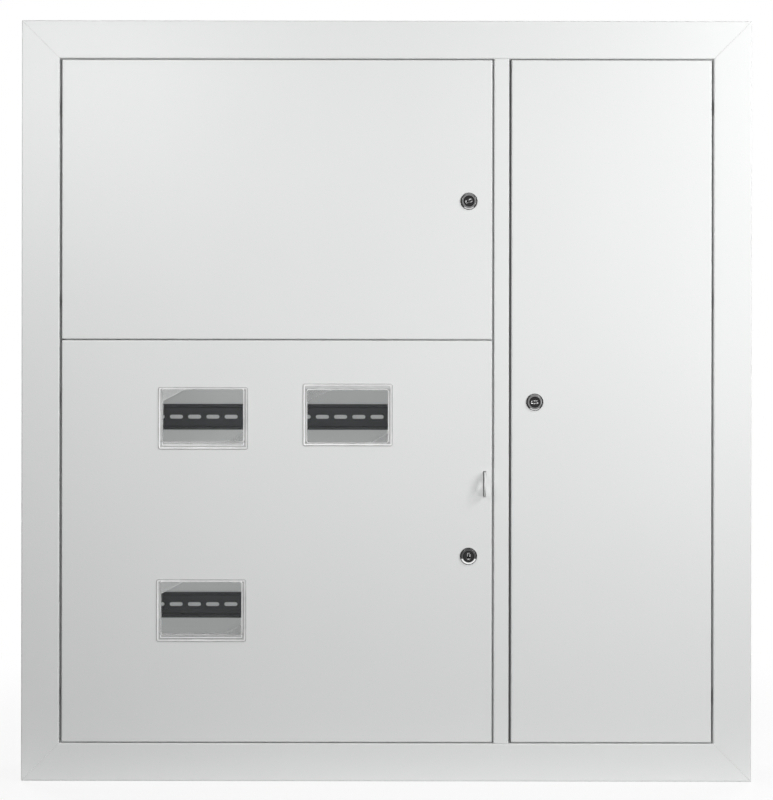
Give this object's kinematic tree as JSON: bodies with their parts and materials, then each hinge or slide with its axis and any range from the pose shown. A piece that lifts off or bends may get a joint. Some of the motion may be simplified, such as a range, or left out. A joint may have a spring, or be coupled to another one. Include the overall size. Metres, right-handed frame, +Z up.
{
  "type": "floor distribution board",
  "caption": "Flush wall distribution board of folded sheet steel: mitred trim frame, lockable doors on concealed hinges, reading windows over mounting rails and a sealing ear.",
  "frame": {"origin": "centre of the outer face of the casing's back wall, in the middle of the wall anchors", "axes": "+X to the right seen from the front, +Y into the wall, +Z up; the doors face -Y"},
  "size_m": [0.96, 0.1663, 1],
  "materials": {
    "grey_coat": "satin light grey powder coat with a fine texture",
    "lock_metal": "dark polished nickel",
    "clear_plastic": "clear glossy moulding",
    "dark_zinc": "dark passivated zinc",
    "zinc_steel": "zinc plated",
    "brass": "drawn brass bar",
    "blue_plastic": "moulded",
    "green_plastic": "moulded"
  },
  "bodies": {
    "cabinet": {"bar_screws": "zinc_steel", "breaker_rail": "dark_zinc", "casing": "grey_coat", "centre_post": "grey_coat", "cross_rail": "grey_coat", "earth_bar": "brass", "earth_insulators": "green_plastic", "earth_nut": "zinc_steel", "earth_stud": "zinc_steel", "earth_washer": "zinc_steel", "frame_hinge_lugs": "grey_coat", "frame_screws": "zinc_steel", "hinge_pins": "zinc_steel", "lug_rivets": "zinc_steel", "meter_rail_lower": "dark_zinc", "meter_rail_upper": "dark_zinc", "mounting_plate": "grey_coat", "neutral_bar": "brass", "neutral_insulators": "blue_plastic", "plate_screws": "zinc_steel", "plate_standoffs": "zinc_steel", "rail_brackets": "grey_coat", "rail_screws": "zinc_steel", "sealing_lug": "grey_coat", "shelf_partition": "grey_coat", "side_partition": "grey_coat", "terminal_screws": "zinc_steel", "trim_bottom": "grey_coat", "trim_left": "grey_coat", "trim_right": "grey_coat", "trim_top": "grey_coat"},
    "upper_door": {"upper_door_hinges": "grey_coat", "upper_door_panel": "grey_coat", "upper_lock_housing": "lock_metal", "upper_lock_nut": "zinc_steel"},
    "lower_door": {"lower_door_hinges": "grey_coat", "lower_door_panel": "grey_coat", "lower_lock_housing": "lock_metal", "lower_lock_nut": "zinc_steel", "window_lower": "clear_plastic", "window_upper_left": "clear_plastic", "window_upper_right": "clear_plastic"},
    "side_door": {"side_door_hinges": "grey_coat", "side_door_panel": "grey_coat", "side_lock_housing": "lock_metal", "side_lock_nut": "zinc_steel"},
    "upper_lock": {"upper_cam_screw": "zinc_steel", "upper_lock_cam": "zinc_steel", "upper_lock_plug": "lock_metal"},
    "lower_lock": {"lower_cam_screw": "zinc_steel", "lower_lock_cam": "zinc_steel", "lower_lock_plug": "lock_metal"},
    "side_lock": {"side_cam_screw": "zinc_steel", "side_lock_cam": "zinc_steel", "side_lock_plug": "lock_metal"}
  },
  "joints": [
    {"name": "upper_door_swing", "type": "hinge", "parent": "cabinet", "child": "upper_door", "pos_m": [-0.41098, -0.1415, 0.2647], "axis": [0, 0, -1], "range_deg": [0, 110]},
    {"name": "lower_door_swing", "type": "hinge", "parent": "cabinet", "child": "lower_door", "pos_m": [-0.41098, -0.1415, -0.1846], "axis": [0, 0, -1], "range_deg": [0, 110]},
    {"name": "side_door_swing", "type": "hinge", "parent": "cabinet", "child": "side_door", "pos_m": [0.41138, -0.1415, 0], "axis": [0, 0, 1], "range_deg": [0, 110]},
    {"name": "upper_lock_turn", "type": "hinge", "parent": "upper_door", "child": "upper_lock", "pos_m": [0.108, -0.15, 0.26258], "axis": [0, -1, 0], "range_deg": [0, 90]},
    {"name": "lower_lock_turn", "type": "hinge", "parent": "lower_door", "child": "lower_lock", "pos_m": [0.108, -0.15, -0.20378], "axis": [0, -1, 0], "range_deg": [0, 90]},
    {"name": "side_lock_turn", "type": "hinge", "parent": "side_door", "child": "side_lock", "pos_m": [0.1947, -0.15, -0.0013], "axis": [0, 1, 0], "range_deg": [0, 90]}
  ]
}
